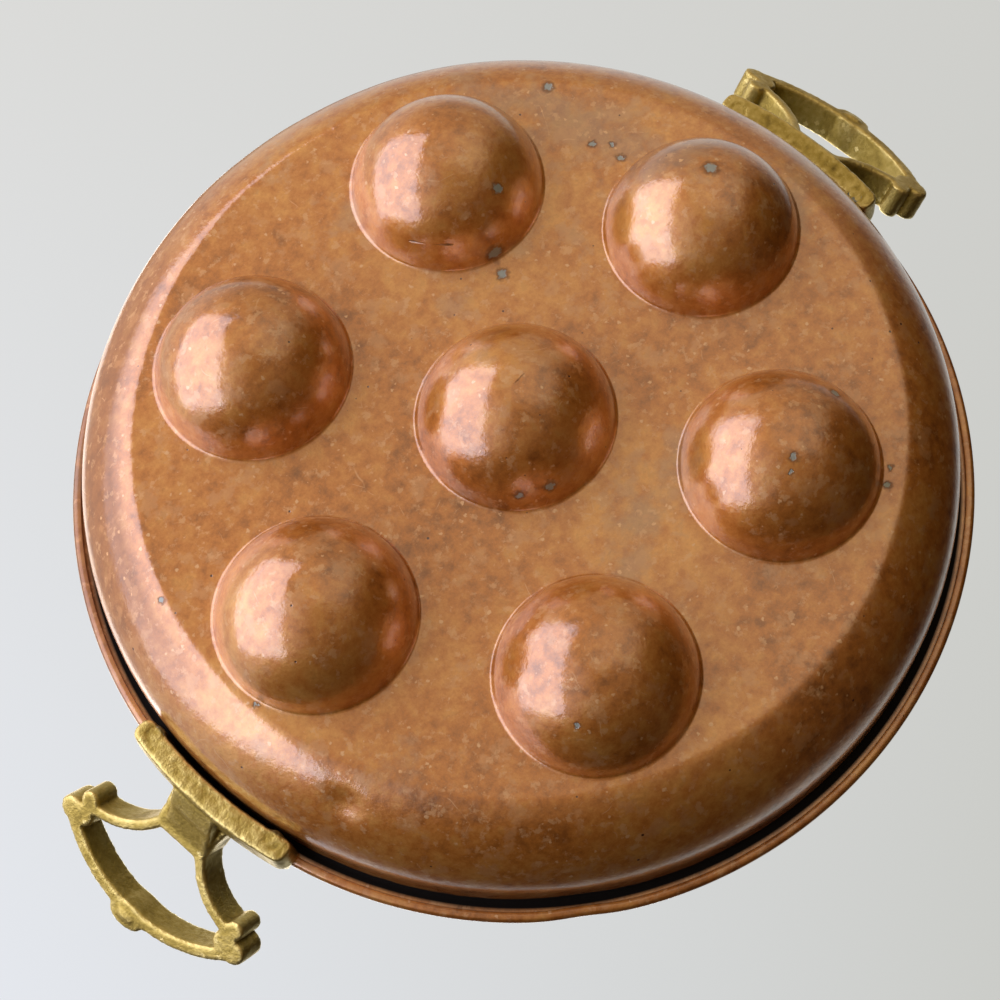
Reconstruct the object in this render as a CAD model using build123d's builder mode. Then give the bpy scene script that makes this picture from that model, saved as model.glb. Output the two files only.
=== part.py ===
from build123d import *
from math import asin, atan2, cos, degrees, radians, sin, sqrt
import os

# Seven-well escargot pan: a pressed copper body with a tin lining inside and
# two cast brass loop handles, each riveted under the turned-out lip.
# It stands on its seven well tips. +Z points out of the mouth, the handles lie
# along X, and the origin is under the middle of the ring of wells.

# Sheet and lining
copper_thickness = 1.5
lining_thickness = 0.3

# Wells. They were set by eye, so each has drifted a little in X and Y
well_depth = 21.0
well_radius = 25.2
well_flat_radius = 4.0
well_foot_radius = 1.2
well_gap = 19.1
well_turn = 2.5
centre_well_drift = (0.8, -0.1)
ring_well_drifts = [(2.0, -0.9), (1.2, -3.0), (-0.2, 0.2), (-0.8, -0.3), (-0.2, 1.2), (1.5, 1.6)]

# Floor, wall and lip
floor_margin = 0.2
wall_spread = 17.0
wall_curve_height = 26.0
rim_height = 38.3
lip_width = 5.6
lip_bend_radius = 0.9
hem_width = 2.5

# Handle bar, seated under the lip
bar_gap = 1.1
bar_width = 6.5
bar_length = 54.0
bar_height = 12.0
bar_draft = 3.0
bar_end_radius = 2.9
seat_clearance = 0.1
lip_clearance = 0.3

# Handle loop, laid out on a plane that slopes outwards and up. It stands off
# the middle of its bar and leans further aside as it rises
loop_slope = 41.0
loop_root_drop = 1.7
loop_root_inset = 0.7
loop_shift = 1.5
loop_lean = 0.08
strap_depth = 9.0
trunk_length = 13.9
trunk_root_length = 4.0
trunk_root_width = 21.0
trunk_waist_width = 17.4
trunk_waist_rise = 7.0
trunk_shoulder_rise = 11.0
trunk_end_width = 11.6
web_width = 14.0
web_rise = 3.0
arm_gauge = 2.9
arm_root_rise = 8.1
arm_waist_spread = 9.3
arm_waist_rise = 16.2
arm_shoulder_spread = 14.4
arm_shoulder_rise = 21.0
arm_spread = 25.6
arm_end_rise = 24.8
arm_lobe_radius = 2.6
arm_lobe_spread = 26.2
arm_lobe_rise = 23.2
corner_radius = 3.2
corner_rise = 28.4
grip_gauge = 3.5
grip_spread = 28.8
grip_end_rise = 30.0
grip_bow = 12.0
grip_lobe_radius = 3.2
grip_lobe_spread = 29.5
grip_lobe_rise = 28.9
knuckle_width = 13.6
knuckle_height = 4.6
medallion_width = 11.2
medallion_height = 6.6
medallion_rise = 1.8

# Rivets
rivet_spacing = 41.0
rivet_inset = 2.4
rivet_radius = 1.6
rivet_clearance = 0.05
rivet_head_radius = 4.5
rivet_head_height = 1.4
rivet_foot_radius = 2.1
rivet_foot_height = 0.8

# Ball that forms a well, and how far its foot reaches over the floor
floor_level = well_depth
ball_height = (well_radius**2 + well_depth**2 - well_flat_radius**2) / (2 * well_depth)
ball_radius = sqrt(well_flat_radius**2 + ball_height**2)
foot_height = floor_level - well_foot_radius
foot_reach = sqrt((ball_radius + well_foot_radius) ** 2 - (ball_height - foot_height) ** 2)
well_ring_radius = 2 * well_radius + well_gap


def well_centres():
    """Middles of the wells on the floor, the middle one first."""
    centres = [Vector(*centre_well_drift, 0)]
    for number, (drift_x, drift_y) in enumerate(ring_well_drifts):
        turn = radians(well_turn + 360 * number / len(ring_well_drifts))
        centres.append(Vector(cos(turn), sin(turn), 0) * well_ring_radius + Vector(drift_x, drift_y, 0))
    return centres


floor_radius = max(centre.length for centre in well_centres()) + foot_reach + floor_margin
wall_radius = floor_radius + wall_spread
lip_radius = wall_radius + lip_width
lip_top = floor_level + rim_height
lip_underside = lip_top - copper_thickness
hem_underside = lip_underside - copper_thickness
hem_start = lip_radius - hem_width
fold_start = lip_radius - copper_thickness
bar_inner = wall_radius + bar_gap
bar_outer = bar_inner + bar_width
bar_top = lip_underside - seat_clearance
bar_underside = bar_top - bar_height
rivet_circle_radius = lip_radius - rivet_inset


def sheet_face(inset, lip_end):
    """Line of one face of the sheet, from the axis to the lip, at a depth above the underside."""
    curve_radius = (wall_spread**2 + wall_curve_height**2) / (2 * wall_spread)
    centre_x = wall_radius - curve_radius
    centre_z = floor_level + wall_curve_height
    arc_radius = curve_radius - inset
    drop = wall_curve_height - inset
    foot_x = centre_x + sqrt(arc_radius**2 - drop**2)
    start_angle = degrees(atan2(-drop, foot_x - centre_x))
    bend_radius = lip_bend_radius + inset
    lip_level = lip_underside + inset
    upright_x = wall_radius - inset
    with BuildLine() as face_line:
        Line((0, floor_level + inset), (foot_x, floor_level + inset))
        CenterArc((centre_x, centre_z), arc_radius, start_angle, -start_angle)
        Line((upright_x, centre_z), (upright_x, lip_level - bend_radius))
        CenterArc((upright_x + bend_radius, lip_level - bend_radius), bend_radius, 90, 90)
        Line((upright_x + bend_radius, lip_level), (lip_end, lip_level))
    return face_line.line


def well_solid(inset, rise):
    """Solid filled by one well, down from a level above its own sheet face."""
    face_level = floor_level + inset
    inner_radius = ball_radius - inset
    share = inner_radius / (ball_radius + well_foot_radius)
    tangent = (foot_reach * share, ball_height - (ball_height - foot_height) * share)
    flat_x = sqrt(inner_radius**2 - (ball_height - inset) ** 2)
    with BuildPart() as well:
        with BuildSketch(Plane.XZ):
            with BuildLine():
                Line((0, inset), (flat_x, inset))
                RadiusArc((flat_x, inset), tangent, -inner_radius)
                RadiusArc(tangent, (foot_reach, face_level), well_foot_radius + inset)
                Polyline(
                    (foot_reach, face_level),
                    (foot_reach, face_level + rise),
                    (0, face_level + rise),
                    (0, inset),
                )
            make_face()
        revolve(axis=Axis.Z)
    return well.part


def rivet_turns():
    """Angles about +Z of the four rivets, by name."""
    half_angle = degrees(asin(rivet_spacing / 2 / rivet_circle_radius))
    return {
        "right_front": -half_angle,
        "right_back": half_angle,
        "left_back": 180 - half_angle,
        "left_front": 180 + half_angle,
    }


def rivet_places():
    """Places of the rivets' axes on the lip's top face, by name."""
    return {
        name: Location((rivet_circle_radius * cos(radians(turn)), rivet_circle_radius * sin(radians(turn)), lip_top))
        for name, turn in rivet_turns().items()
    }


def rivet_solid(gap):
    """Rivet standing on the lip's top face at the origin, its shank and foot grown by a gap."""
    shank = rivet_radius + gap
    foot = rivet_foot_radius + gap
    foot_level = bar_underside - lip_top
    head = rivet_head_radius
    head_top = lining_thickness + rivet_head_height
    dome_radius = (head**2 + rivet_head_height**2) / (2 * rivet_head_height)
    with BuildPart() as rivet:
        with BuildSketch(Plane.XZ):
            with BuildLine():
                Polyline(
                    (0, head_top),
                    (0, foot_level),
                    (foot, foot_level),
                    (shank, foot_level + rivet_foot_height),
                    (shank, lining_thickness),
                    (head, lining_thickness),
                )
                RadiusArc((head, lining_thickness), (0, head_top), -dome_radius)
            make_face()
        revolve(axis=Axis.Z)
    return rivet.part


def loop_point(spread, rise):
    """Point of the handle's loop, moved aside from its even outline."""
    return (spread + loop_shift + loop_lean * rise, rise)


# Rivets: domed head on the tinned lip, shank through lip and bar, upset foot
rivet_blank = rivet_solid(0)
rivet_tool = rivet_solid(rivet_clearance)

# Copper body: one pressed sheet with its hem turned under at the lip
well_bump = well_solid(0, copper_thickness - lining_thickness)
well_hollow = well_solid(copper_thickness, copper_thickness)

with BuildPart() as pan_body:
    with BuildSketch(Plane.XZ):
        with BuildLine():
            add(sheet_face(0, hem_start))
            Polyline((hem_start, lip_underside), (hem_start, hem_underside), (fold_start, hem_underside))
            ThreePointArc((fold_start, hem_underside), (lip_radius, lip_underside), (fold_start, lip_top))
            add(sheet_face(copper_thickness, fold_start))
            Line((0, floor_level), (0, floor_level + copper_thickness))
        make_face()
    revolve(axis=Axis.Z)
    with Locations(*well_centres()):
        add(well_bump)
        add(well_hollow, mode=Mode.SUBTRACT)
    with Locations(*rivet_places().values()):
        add(rivet_tool, mode=Mode.SUBTRACT)

# Tin lining: wiped over the inside and across the lip, up to its rounded edge
lining_top = copper_thickness + lining_thickness
lining_bump = well_solid(copper_thickness, lining_thickness / 2)
lining_hollow = well_solid(lining_top, copper_thickness)

with BuildPart() as tin_lining:
    with BuildSketch(Plane.XZ):
        with BuildLine():
            add(sheet_face(copper_thickness, fold_start))
            Line((fold_start, lip_top), (fold_start, lip_top + lining_thickness))
            add(sheet_face(lining_top, fold_start))
            Line((0, floor_level + copper_thickness), (0, floor_level + lining_top))
        make_face()
    revolve(axis=Axis.Z)
    with Locations(*well_centres()):
        add(lining_bump)
        add(lining_hollow, mode=Mode.SUBTRACT)
    with Locations(*rivet_places().values()):
        add(rivet_tool, mode=Mode.SUBTRACT)

# Loop of the handle: two arms with lobed corners and a bowed grip on a trunk
loop_tilt = radians(loop_slope)
loop_foot = (bar_outer - loop_root_inset, bar_top - loop_root_drop)
loop_plane = Plane(
    origin=(loop_foot[0], 0, loop_foot[1]),
    x_dir=(0, -1, 0),
    z_dir=(-sin(loop_tilt), 0, cos(loop_tilt)),
)
grip_middle = grip_end_rise + grip_bow

with BuildPart() as strap:
    with BuildSketch(loop_plane):
        for side in (1, -1):
            with BuildLine():
                Spline(
                    loop_point(side * trunk_end_width / 2, arm_root_rise),
                    loop_point(side * arm_waist_spread, arm_waist_rise),
                    loop_point(side * arm_shoulder_spread, arm_shoulder_rise),
                    loop_point(side * arm_spread, arm_end_rise),
                )
            trace(line_width=arm_gauge)
            with Locations(loop_point(side * arm_lobe_spread, arm_lobe_rise)):
                Circle(arm_lobe_radius)
            with Locations(loop_point(side * grip_lobe_spread, grip_lobe_rise)):
                Circle(grip_lobe_radius)
            with Locations(loop_point(side * arm_spread, corner_rise)):
                Circle(corner_radius)
        with BuildLine():
            ThreePointArc(
                loop_point(-grip_spread, grip_end_rise),
                loop_point(0, grip_middle),
                loop_point(grip_spread, grip_end_rise),
            )
        trace(line_width=grip_gauge)
        with Locations(loop_point(0, grip_middle)):
            Ellipse(knuckle_width / 2, knuckle_height / 2)
        with Locations(loop_point(0, grip_middle + medallion_rise)):
            Ellipse(medallion_width / 2, medallion_height / 2)
        with BuildLine():
            Polyline(
                loop_point(-trunk_root_width / 2, -trunk_root_length),
                loop_point(trunk_root_width / 2, -trunk_root_length),
                loop_point(trunk_waist_width / 2, trunk_waist_rise),
                loop_point(trunk_waist_width / 2, trunk_shoulder_rise),
                loop_point(trunk_end_width / 2, trunk_length),
                loop_point(-trunk_end_width / 2, trunk_length),
                loop_point(-trunk_waist_width / 2, trunk_shoulder_rise),
                loop_point(-trunk_waist_width / 2, trunk_waist_rise),
                close=True,
            )
        make_face()
    extrude(amount=strap_depth)

# Cast brass handle: a bar that follows the lip, a web and the loop
with BuildPart() as casting:
    with BuildSketch(Plane.XY.offset(bar_top)) as bar_face:
        bar_turn = degrees(bar_length / 2 / bar_outer)
        with BuildLine():
            inner_arc = CenterArc((0, 0), bar_inner, -bar_turn, 2 * bar_turn)
            outer_arc = CenterArc((0, 0), bar_outer, -bar_turn, 2 * bar_turn)
            Line(inner_arc @ 0, outer_arc @ 0)
            Line(inner_arc @ 1, outer_arc @ 1)
        make_face()
        fillet(bar_face.vertices(), radius=bar_end_radius)
    extrude(amount=-bar_height, taper=bar_draft)

    # Web under the trunk, from the bar out to the trunk's end
    with BuildSketch(Plane.XZ.offset(loop_shift)):
        with BuildLine():
            web_end = trunk_length - web_rise
            web_start = bar_outer - bar_width / 2
            Polyline(
                (web_start, bar_underside + web_rise),
                (bar_outer, bar_underside + web_rise),
                (loop_foot[0] + web_end * cos(loop_tilt), loop_foot[1] + web_end * sin(loop_tilt)),
                (web_start, bar_top),
                close=True,
            )
        make_face()
    extrude(amount=web_width / 2, both=True)
    add(strap.part)

    # Seat: the casting clears the lip's edge and the hem, and bears on the lip
    with BuildSketch(Plane.XZ):
        with BuildLine():
            clear_x = hem_start - lip_clearance
            edge_x = lip_radius + lip_clearance
            clear_z = hem_underside - seat_clearance
            inner_x = bar_inner - bar_width
            upper_z = bar_top + bar_height + strap_depth
            Polyline(
                (inner_x, bar_underside),
                (bar_inner, bar_underside),
                (bar_inner, bar_top),
                (clear_x, bar_top),
                (clear_x, clear_z),
                (edge_x, clear_z),
                (edge_x, upper_z),
                (inner_x, upper_z),
                close=True,
            )
        make_face()
    revolve(axis=Axis.Z, mode=Mode.SUBTRACT)

    with Locations(rivet_places()["right_front"], rivet_places()["right_back"]):
        add(rivet_tool, mode=Mode.SUBTRACT)

nodes = {
    "pan_body": pan_body.part,
    "tin_lining": tin_lining.part,
    "handle_right": casting.part,
    "handle_left": mirror(casting.part, about=Plane.YZ),
}
for name, place in rivet_places().items():
    nodes["rivet_" + name] = place * rivet_blank

os.makedirs("parts", exist_ok=True)
for name, piece in nodes.items():
    piece.label = name
    export_step(piece, f"parts/{name}.step")
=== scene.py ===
"""Looks of a seven-well copper escargot pan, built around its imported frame.

The pan stands upright on its well tips, and the camera looks up at its underside.
Sizes are in millimetres until a mesh or a node takes them.
"""

import logging
import math
from dataclasses import dataclass
from enum import Enum
from typing import Any, Iterable

import bmesh
import bpy
from mathutils import Euler, Matrix, Vector, noise
from mathutils.geometry import delaunay_2d_cdt


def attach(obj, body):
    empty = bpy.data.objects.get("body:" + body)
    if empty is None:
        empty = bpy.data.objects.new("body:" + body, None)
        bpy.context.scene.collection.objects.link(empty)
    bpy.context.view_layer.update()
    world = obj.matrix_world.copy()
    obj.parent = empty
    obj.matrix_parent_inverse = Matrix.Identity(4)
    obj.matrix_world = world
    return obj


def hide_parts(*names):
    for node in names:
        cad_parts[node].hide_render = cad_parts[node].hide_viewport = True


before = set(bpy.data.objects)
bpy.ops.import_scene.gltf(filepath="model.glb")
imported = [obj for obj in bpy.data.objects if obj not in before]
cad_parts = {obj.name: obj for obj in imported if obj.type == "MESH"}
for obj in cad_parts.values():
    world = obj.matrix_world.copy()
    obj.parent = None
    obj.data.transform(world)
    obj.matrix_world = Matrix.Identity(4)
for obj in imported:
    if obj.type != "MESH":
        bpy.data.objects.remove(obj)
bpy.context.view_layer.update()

MM = 0.001
MERGE_REACH = 0.002 * MM
log = logging.getLogger("escargot_pan")

Profile = list[tuple[float, float]]
Socket = bpy.types.NodeSocket
Tree = bpy.types.NodeTree
Piece = bpy.types.Object
WorkMesh = bmesh.types.BMesh


class Side(Enum):
    """The two handles, each by the end of the X axis that it is on."""

    RIGHT = 1.0
    LEFT = -1.0

    @property
    def label(self) -> str:
        """Lower-case name, as the frame's nodes use it."""
        return self.name.lower()


def linear(shade: str) -> tuple[float, float, float, float]:
    """Turn an sRGB hex colour into the linear colour that shaders take.

    Args:
        shade: Six hex digits, with or without a leading mark.

    Returns:
        Red, green, blue and an alpha of 1.
    """
    digits = shade.lstrip("#")
    parts = [int(digits[i : i + 2], 16) / 255 for i in (0, 2, 4)]
    red, green, blue = (p / 12.92 if p <= 0.04045 else ((p + 0.055) / 1.055) ** 2.4 for p in parts)
    return (red, green, blue, 1.0)


def add_node(
    tree: Tree,
    kind: str,
    settings: dict[str, Any] | None = None,
    inputs: dict[Any, Any] | None = None,
) -> bpy.types.Node:
    """Add a node with its settings, its input values and its links.

    Args:
        tree: The node tree that gets the node.
        kind: The node's type name.
        settings: Properties of the node itself.
        inputs: A value, or another node's output socket, for each input name or index.

    Returns:
        The new node.
    """
    made = tree.nodes.new(kind)
    for name, value in (settings or {}).items():
        setattr(made, name, value)
    for name, value in (inputs or {}).items():
        if isinstance(value, Socket):
            tree.links.new(value, made.inputs[name])
        else:
            made.inputs[name].default_value = value
    return made


def finish_mesh(name: str, bm: WorkMesh, crease_angle: float = 38.0) -> Piece:
    """Turn a closed mesh into an object with outward, smooth faces and sharp creases.

    Args:
        name: The piece's name.
        bm: Its mesh in metres, freed here.
        crease_angle: Edges that bend by more degrees than this stay sharp.

    Returns:
        The linked object, at the origin.
    """
    bmesh.ops.remove_doubles(bm, verts=bm.verts, dist=MERGE_REACH)
    bmesh.ops.recalc_face_normals(bm, faces=bm.faces)
    limit = math.radians(crease_angle)
    for face in bm.faces:
        face.smooth = True
    for edge in bm.edges:
        edge.smooth = len(edge.link_faces) == 2 and edge.calc_face_angle(0.0) < limit
    mesh = bpy.data.meshes.new(name)
    bm.to_mesh(mesh)
    bm.free()
    piece = bpy.data.objects.new(name, mesh)
    bpy.context.scene.collection.objects.link(piece)
    return piece


def settle(piece: Piece) -> Piece:
    """Replace a piece's mesh by its evaluated one and drop its modifiers."""
    graph = bpy.context.evaluated_depsgraph_get()
    mesh = bpy.data.meshes.new_from_object(piece.evaluated_get(graph), depsgraph=graph)
    piece.modifiers.clear()
    piece.data = mesh
    return piece


@dataclass(frozen=True)
class Dent:
    """A knock in the sheet, as a smooth hollow.

    Attributes:
        place: Middle of the knock on the outside, in millimetres.
        reach: Half widths along X, Y and Z.
        push: How far and which way the sheet went at the middle.
        last: Squared share of the reach past which the push is nothing.
    """

    place: tuple[float, float, float]
    reach: tuple[float, float, float]
    push: tuple[float, float, float]
    last: float = 9.0

    def shift(self, point: Vector) -> Vector:
        """Shift of a point of the sheet, in millimetres."""
        away = sum(((point[i] - self.place[i]) / self.reach[i]) ** 2 for i in range(3))
        return Vector(self.push) * math.exp(-away) if away < self.last else Vector()


@dataclass
class SheetWork:
    """The small unevenness that its making leaves in the sheet, as a shift of its points."""

    long_wave: float = 46.0
    long_depth: float = 0.35
    short_wave: float = 15.0
    short_depth: float = 0.07
    short_start: tuple[float, float, float] = (7.0, 3.0, 1.0)
    lip_reach: float = 112.0
    fade: float = 6.0
    dents: tuple[Dent, ...] = ()
    seed: int = 26

    def __post_init__(self) -> None:
        """Fix the noise's offsets, which would be drawn anew in every run."""
        noise.seed_set(self.seed)

    def shift(self, point: Vector) -> Vector:
        """Shift of a point of the sheet, in millimetres.

        Args:
            point: The point in millimetres.

        Returns:
            How far it lies from the perfect form, fading out at the lip and the well tips.
        """
        reach = math.hypot(point.x, point.y)
        calm = min(1.0, max(0.0, (self.lip_reach + self.fade - reach) / self.fade))
        calm *= min(1.0, max(0.0, point.z / self.fade))
        slow = noise.noise_vector(point / self.long_wave) * self.long_depth
        spot = point / self.short_wave + Vector(self.short_start)
        quick = noise.noise_vector(spot) * self.short_depth
        knocks = sum((dent.shift(point) for dent in self.dents), Vector())
        return (slow + quick) * calm + knocks


@dataclass
class PressedSheet:
    """The copper sheet and the lining that follows it.

    A face is one side of the sheet, named by its inset above the underside. The steps are those
    along the wall's curve and along a well's bowl: outer for the underside, hidden for the joint
    between copper and lining, inner for the lining's own skin.
    """

    copper: float = 1.5
    lining: float = 0.3
    well_depth: float = 21.0
    well_radius: float = 25.2
    well_flat: float = 4.0
    well_foot: float = 1.2
    well_gap: float = 19.1
    well_turn: float = 2.5
    centre_drift: tuple[float, float] = (0.8, -0.1)
    ring_drifts: tuple[tuple[float, float], ...] = (
        (2.0, -0.9),
        (1.2, -3.0),
        (-0.2, 0.2),
        (-0.8, -0.3),
        (-0.2, 1.2),
        (1.5, 1.6),
    )
    floor_margin: float = 0.2
    wall_spread: float = 17.0
    curve_height: float = 26.0
    rim_height: float = 38.3
    lip_width: float = 5.6
    lip_bend: float = 0.9
    hem_width: float = 2.5
    crease: float = 6.0
    seam: float = 101.5
    around: int = 480
    well_around: int = 96
    floor_pitch: float = 3.2
    seam_rings: tuple[float, ...] = (-2.6, -1.7, -1.2, -0.7, -0.2, 0.3, 0.8, 1.4, 2.2)
    seam_margin: float = 4.0
    foot_margin: float = 0.9
    hem_nose: float = 0.35
    bend_steps: int = 6
    lip_steps: int = 3
    fold_steps: int = 14
    outer_steps: tuple[int, int] = (30, 24)
    hidden_steps: tuple[int, int] = (12, 10)
    inner_steps: tuple[int, int] = (26, 22)

    def __post_init__(self) -> None:
        """Work out the sizes that follow from the others."""
        depth = self.well_depth
        self.ball_height = (self.well_radius**2 + depth**2 - self.well_flat**2) / (2 * depth)
        self.ball = math.hypot(self.well_flat, self.ball_height)
        self.foot_height = depth - self.well_foot
        drop = self.ball_height - self.foot_height
        self.foot_reach = math.sqrt((self.ball + self.well_foot) ** 2 - drop**2)
        self.floor_radius = max(m.length for m in self.well_middles()) + self.foot_reach + self.floor_margin
        self.wall_radius = self.floor_radius + self.wall_spread
        self.lip_radius = self.wall_radius + self.lip_width
        self.curve = (self.wall_spread**2 + self.curve_height**2) / (2 * self.wall_spread)
        self.curve_middle = (self.wall_radius - self.curve, depth + self.curve_height)
        self.lip_top = depth + self.rim_height

    def well_middles(self) -> list[Vector]:
        """Middles of the seven wells on the floor plane."""
        ring = 2 * self.well_radius + self.well_gap
        middles = [Vector(self.centre_drift)]
        for number, drift in enumerate(self.ring_drifts):
            turn = math.radians(self.well_turn + 360 * number / len(self.ring_drifts))
            middles.append(Vector((math.cos(turn), math.sin(turn))) * ring + Vector(drift))
        return middles

    def base(self, reach: float, inset: float) -> float:
        """Height of one face without its wells, at a distance from the axis."""
        level = self.well_depth + inset
        middle_r, middle_z = self.curve_middle
        curve = self.curve - inset
        inner = curve - self.crease
        turn_r = middle_r + math.sqrt(inner**2 - (middle_z - level - self.crease) ** 2)
        if reach <= turn_r:
            return level
        if reach <= middle_r + (turn_r - middle_r) * curve / inner:
            return level + self.crease - math.sqrt(self.crease**2 - (reach - turn_r) ** 2)
        return middle_z - math.sqrt(curve**2 - (reach - middle_r) ** 2)

    def arc(
        self, centre: tuple[float, float], radius: float, first: float, last: float, steps: int
    ) -> Profile:
        """Points of an arc between two angles in degrees, both ends included."""
        angles = [math.radians(first + (last - first) * i / steps) for i in range(steps + 1)]
        return [(centre[0] + radius * math.cos(a), centre[1] + radius * math.sin(a)) for a in angles]

    def wall(self, inset: float, lip_end: float, steps: int) -> Profile:
        """One face of the wall, from the seam with the floor to the lip.

        Args:
            inset: Height of the face above the sheet's underside, across the sheet.
            lip_end: Radius at which the lip's face ends.
            steps: Steps along the curved part.

        Returns:
            Radius and height pairs.
        """
        radius = self.curve - inset
        first = -math.degrees(math.acos((self.seam - self.curve_middle[0]) / radius))
        lip_level = self.lip_top - self.copper + inset
        bend = self.lip_bend + inset
        upright = self.wall_radius - inset
        points = self.arc(self.curve_middle, radius, first, 0, steps)
        bend_points = self.arc((upright + bend, lip_level - bend), bend, 180, 90, self.bend_steps)
        start_z = points[-1][1]
        rise = (bend_points[0][1] - start_z) / self.bend_steps
        points += [(upright, start_z + rise * i) for i in range(1, self.bend_steps)]
        points += bend_points
        start_r = bend_points[-1][0]
        run = (lip_end - start_r) / self.lip_steps
        points += [(start_r + run * i, lip_level) for i in range(1, self.lip_steps + 1)]
        return points

    def well(self, inset: float, steps: int) -> Profile:
        """One face of a well, from its foot on the floor down to its middle."""
        bend = self.well_foot + inset
        drop = self.ball_height - self.foot_height
        tangent = math.degrees(math.atan2(-drop, self.foot_reach))
        inner = self.ball - inset
        flat_r = math.sqrt(inner**2 - (self.ball_height - inset) ** 2)
        tip = math.degrees(math.atan2(inset - self.ball_height, flat_r))
        foot = self.arc((self.foot_reach, self.foot_height), bend, 90, 180 + tangent, self.bend_steps)
        bowl = self.arc((0, self.ball_height), inner, tangent, tip, steps)
        return foot + bowl[1:] + [(flat_r * 0.5, inset)]

    @staticmethod
    def spin(bm: WorkMesh, profile: Profile, steps: int) -> list[list[Any]]:
        """Turn a profile about the pan's axis.

        Args:
            bm: The mesh that gets the faces.
            profile: Radius and height pairs.
            steps: Copies around.

        Returns:
            The first and the last ring of points.
        """
        turns = [2 * math.pi * i / steps for i in range(steps)]
        rings = [
            [bm.verts.new((r * math.cos(t), r * math.sin(t), z)) for t in turns] for r, z in profile
        ]
        for low, high in zip(rings, rings[1:]):
            for step in range(steps):
                after = (step + 1) % steps
                bm.faces.new((low[step], low[after], high[after], high[step]))
        return [rings[0], rings[-1]]

    def press_well(
        self, bm: WorkMesh, middle: Vector, inset: float, steps: int, around: int
    ) -> list[Any]:
        """Press one well into a face.

        Args:
            bm: The mesh that gets the faces.
            middle: Middle of the well on the floor plane.
            inset: Height of the face above the underside.
            steps: Steps along the bowl.
            around: Copies around.

        Returns:
            The ring of points at the well's foot.
        """
        rings = []
        for reach, height in self.well(inset, steps):
            ring = []
            for step in range(around):
                turn = 2 * math.pi * step / around
                spot = middle + Vector((math.cos(turn), math.sin(turn))) * reach
                lift = self.base(spot.length, inset) - self.well_depth - inset
                ring.append(bm.verts.new((spot.x, spot.y, height + lift)))
            rings.append(ring)
        for low, high in zip(rings, rings[1:]):
            for step in range(around):
                after = (step + 1) % around
                bm.faces.new((low[step], low[after], high[after], high[step]))
        tip = bm.verts.new((middle.x, middle.y, inset))
        for step in range(around):
            bm.faces.new((rings[-1][step], rings[-1][(step + 1) % around], tip))
        return rings[0]

    def loose_spots(self, reach: float) -> list[Vector]:
        """Spots that carry the floor's mesh, out to a reach and clear of the wells."""
        middles = self.well_middles()
        row_step = self.floor_pitch * math.sqrt(3) / 2
        rows = int(reach / row_step)
        spots = []
        for row in range(-rows, rows + 1):
            for column in range(-rows, rows + 1):
                spot = Vector(((column + 0.5 * (row % 2)) * self.floor_pitch, row * row_step))
                if spot.length < self.floor_radius - self.seam_margin:
                    spots.append(spot)
        for ring in self.seam_rings:
            for step in range(self.around):
                turn = 2 * math.pi * (step + 0.5) / self.around
                spots.append(Vector((math.cos(turn), math.sin(turn))) * (self.floor_radius + ring))
        clear = self.foot_reach + self.foot_margin
        return [spot for spot in spots if all((spot - middle).length > clear for middle in middles)]

    def fill_floor(self, bm: WorkMesh, edge: list[Any], feet: list[list[Any]], inset: float) -> None:
        """Fill the floor between the seam and the feet of the wells.

        Args:
            bm: The mesh that gets the faces.
            edge: Ring of points at the seam.
            feet: One ring of points for each well.
            inset: Height of the face above the underside.
        """
        known = list(edge)
        owners = [-1] * len(edge)
        loops = [(i, (i + 1) % len(edge)) for i in range(len(edge))]
        for number, ring in enumerate(feet):
            start = len(known)
            known += ring
            owners += [number] * len(ring)
            loops += [(start + i, start + (i + 1) % len(ring)) for i in range(len(ring))]
        flat = [v.co.xy for v in known] + self.loose_spots(self.seam)
        points, _, faces, sources, _, _ = delaunay_2d_cdt(flat, loops, [], 0, 1e-5)
        places = []
        for point, source in zip(points, sources):
            first = min(source) if source else len(known)
            if first < len(known):
                places.append(known[first])
            else:
                places.append(bm.verts.new((point.x, point.y, self.base(point.length, inset))))
        wells = {vert: owner for vert, owner in zip(known, owners)}
        for corners in faces:
            touched = {wells.get(places[i], -1) for i in corners}
            if touched == {-1} or len(touched) > 1:
                bm.faces.new([places[i] for i in corners])

    def close_face(
        self, bm: WorkMesh, edge: list[Any], inset: float, well_steps: int, around: int
    ) -> None:
        """Add the floor and the seven wells of one face inside its seam.

        Args:
            bm: The mesh that gets the faces.
            edge: Ring of points at the seam.
            inset: Height of the face above the underside.
            well_steps: Steps along a well's bowl.
            around: Copies around a well.
        """
        feet = [self.press_well(bm, m, inset, well_steps, around) for m in self.well_middles()]
        self.fill_floor(bm, edge, feet, inset)

    def place_points(self, bm: WorkMesh, work: SheetWork) -> None:
        """Give every point its unevenness and bring it to metres."""
        for vert in bm.verts:
            vert.co = (vert.co + work.shift(vert.co)) * MM

    def build_copper(self, work: SheetWork) -> Piece:
        """Build the copper body: both faces of the sheet, its hem and its rounded lip."""
        lip_under = self.lip_top - self.copper
        hem_under = lip_under - self.copper
        hem_start = self.lip_radius - self.hem_width
        fold = self.lip_radius - self.copper
        nose = self.hem_nose
        corner = nose * 0.3
        hem = [(hem_start, hem_under + nose), (hem_start + corner, hem_under + corner)]
        hem += [(hem_start + nose, hem_under), (fold, hem_under)]
        fold_arc = self.arc((fold, lip_under), self.copper, -90, 90, self.fold_steps)[1:]
        inside = list(reversed(self.wall(self.copper, fold, self.hidden_steps[0])))[1:]
        bm = bmesh.new()
        profile = self.wall(0, hem_start, self.outer_steps[0]) + hem + fold_arc + inside
        first, last = self.spin(bm, profile, self.around)
        self.close_face(bm, first, 0, self.outer_steps[1], self.well_around)
        self.close_face(bm, last, self.copper, self.hidden_steps[1], self.well_around // 2)
        self.place_points(bm, work)
        return finish_mesh("copper_body", bm)

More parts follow.
